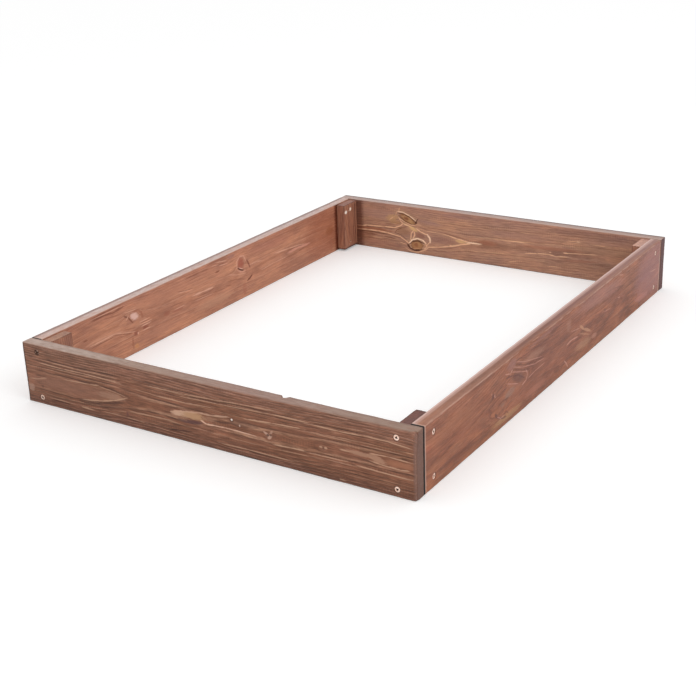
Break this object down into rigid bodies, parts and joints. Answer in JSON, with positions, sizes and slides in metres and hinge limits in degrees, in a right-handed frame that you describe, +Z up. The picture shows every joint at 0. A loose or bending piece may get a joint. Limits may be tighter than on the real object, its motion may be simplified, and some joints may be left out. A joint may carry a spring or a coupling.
{
  "type": "raised garden bed",
  "caption": "Low open rectangular frame of stained softwood boards screwed to short corner posts, bottomless, stands on soil or paving and holds a shallow layer of earth.",
  "frame": {"origin": "middle of the frame's footprint, on the ground", "axes": "+X right along the front board, +Y from the front board to the back board, +Z up"},
  "size_m": [0.7, 0.95, 0.1],
  "materials": {
    "front_back_stain": "planed pine with a thin walnut-brown outdoor stain, satin",
    "side_stain": "planed pine with a thin red-brown outdoor stain, satin",
    "post_stain": "sawn pine batten with a dark red-brown outdoor stain, matt",
    "yellow_zinc": "yellow passivated zinc plating, satin"
  },
  "bodies": {
    "root": {"front_board": "front_back_stain", "back_board": "front_back_stain", "left_board": "side_stain", "right_board": "side_stain", "front_left_post": "post_stain", "front_right_post": "post_stain", "back_left_post": "post_stain", "back_right_post": "post_stain", "front_screw_left_lower": "yellow_zinc", "front_screw_left_upper": "yellow_zinc", "front_screw_right_lower": "yellow_zinc", "front_screw_right_upper": "yellow_zinc", "back_screw_left_lower": "yellow_zinc", "back_screw_left_upper": "yellow_zinc", "back_screw_right_lower": "yellow_zinc", "back_screw_right_upper": "yellow_zinc", "left_screw_front_lower": "yellow_zinc", "left_screw_front_upper": "yellow_zinc", "left_screw_back_lower": "yellow_zinc", "left_screw_back_upper": "yellow_zinc", "right_screw_front_lower": "yellow_zinc", "right_screw_front_upper": "yellow_zinc", "right_screw_back_lower": "yellow_zinc", "right_screw_back_upper": "yellow_zinc"}
  },
  "joints": []
}
